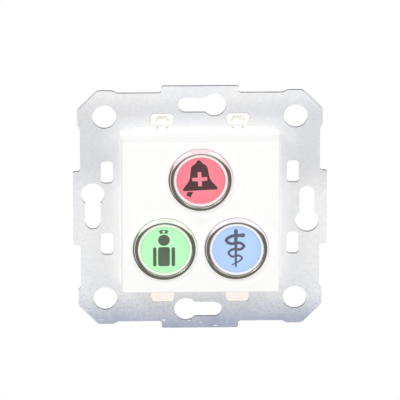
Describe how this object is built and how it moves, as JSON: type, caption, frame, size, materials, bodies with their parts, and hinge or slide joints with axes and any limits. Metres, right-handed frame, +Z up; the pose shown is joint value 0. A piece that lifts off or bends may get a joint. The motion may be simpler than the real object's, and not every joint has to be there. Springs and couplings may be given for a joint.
{
  "type": "nurse call button",
  "caption": "Flush wall nurse call station: square white module on a steel mounting frame, with lit push buttons in chrome rings.",
  "frame": {"origin": "centre of the steel mounting frame's rear face, on the wall's surface", "axes": "+Z up, +X to the right seen from the front, the front faces -Y and the wall box lies towards +Y"},
  "size_m": [0.071, 0.0315, 0.071],
  "materials": {
    "zinc_steel": "zinc-plated sheet, fine rolled grain",
    "cover_plastic": "white, satin gloss",
    "insert_plastic": "white, matt",
    "housing_plastic": "pale grey, fine spark texture",
    "baffle_plastic": "white, matt",
    "board_laminate": "green solder resist",
    "chrome": "polished",
    "nut_metal": "satin",
    "cap_plastic": "translucent white",
    "legend_red": "printed film",
    "legend_green": "printed film",
    "legend_blue": "printed film",
    "lens_clear": "clear, polished",
    "stem_plastic": "moulded",
    "switch_plastic": "moulded",
    "lamp_resin": "clear yellow resin",
    "spring_steel": "drawn wire",
    "screw_steel": "zinc-plated",
    "chip_epoxy": "moulded",
    "capacitor_can": "satin",
    "resistor_body": "glazed",
    "terminal_plastic": "green, moulded",
    "pin_brass": "tinned brass",
    "clamp_steel": "nickel-plated"
  },
  "bodies": {
    "station": {"mounting_frame": "zinc_steel", "insert_frame": "insert_plastic", "front_cover": "cover_plastic", "rear_housing": "housing_plastic", "light_baffle": "baffle_plastic", "circuit_board": "board_laminate", "board_screws": "screw_steel", "controller_chip": "chip_epoxy", "smoothing_capacitor": "capacitor_can", "board_resistors": "resistor_body", "terminal_header": "terminal_plastic", "header_pins": "pin_brass", "terminal_plug": "terminal_plastic", "wire_clamps": "clamp_steel", "terminal_screws": "screw_steel", "red_bezel": "chrome", "red_bezel_nut": "nut_metal", "red_spring": "spring_steel", "red_switch": "switch_plastic", "red_lamps": "lamp_resin", "green_bezel": "chrome", "green_bezel_nut": "nut_metal", "green_spring": "spring_steel", "green_switch": "switch_plastic", "green_lamps": "lamp_resin", "blue_bezel": "chrome", "blue_bezel_nut": "nut_metal", "blue_spring": "spring_steel", "blue_switch": "switch_plastic", "blue_lamps": "lamp_resin"},
    "red_button": {"red_cap": "cap_plastic", "red_legend": "legend_red", "red_lens": "lens_clear", "red_stem": "stem_plastic"},
    "green_button": {"green_cap": "cap_plastic", "green_legend": "legend_green", "green_lens": "lens_clear", "green_stem": "stem_plastic"},
    "blue_button": {"blue_cap": "cap_plastic", "blue_legend": "legend_blue", "blue_lens": "lens_clear", "blue_stem": "stem_plastic"}
  },
  "joints": [
    {"name": "red_press", "type": "slide", "parent": "station", "child": "red_button", "axis": [0, 1, 0], "range_m": [0, 0.0012], "stiffness_N_per_m": 800, "springref_m": -0.00125, "deforming": ["red_spring"]},
    {"name": "green_press", "type": "slide", "parent": "station", "child": "green_button", "axis": [0, 1, 0], "range_m": [0, 0.0012], "stiffness_N_per_m": 800, "springref_m": -0.00125, "deforming": ["green_spring"]},
    {"name": "blue_press", "type": "slide", "parent": "station", "child": "blue_button", "axis": [0, 1, 0], "range_m": [0, 0.0012], "stiffness_N_per_m": 800, "springref_m": -0.00125, "deforming": ["blue_spring"]}
  ]
}
